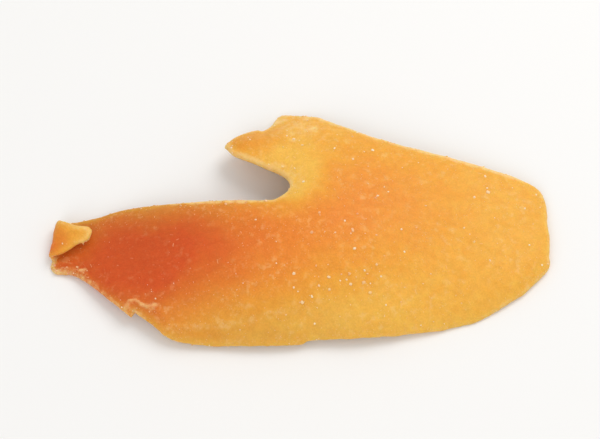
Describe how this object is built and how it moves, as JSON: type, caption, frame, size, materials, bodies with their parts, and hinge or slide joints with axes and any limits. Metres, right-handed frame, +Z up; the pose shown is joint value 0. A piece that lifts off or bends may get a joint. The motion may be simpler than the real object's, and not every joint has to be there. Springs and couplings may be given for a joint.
{
  "type": "dried papaya slice",
  "caption": "Thin domed slice of candied dried papaya with a hooked lobe over a notch and a curled tip.",
  "frame": {"origin": "centre of the footprint, on the surface that the slice lies on", "axes": "+X along the slice from its curled tip to its blunt end, +Y towards the hooked lobe, +Z up through the dome"},
  "size_m": [0.0804, 0.0414, 0.008],
  "materials": {
    "papaya_flesh": "translucent orange candied flesh, half matt, dusted with sugar grains, paler along the cut edge"
  },
  "bodies": {
    "root": {"papaya_slice": "papaya_flesh"}
  },
  "joints": []
}
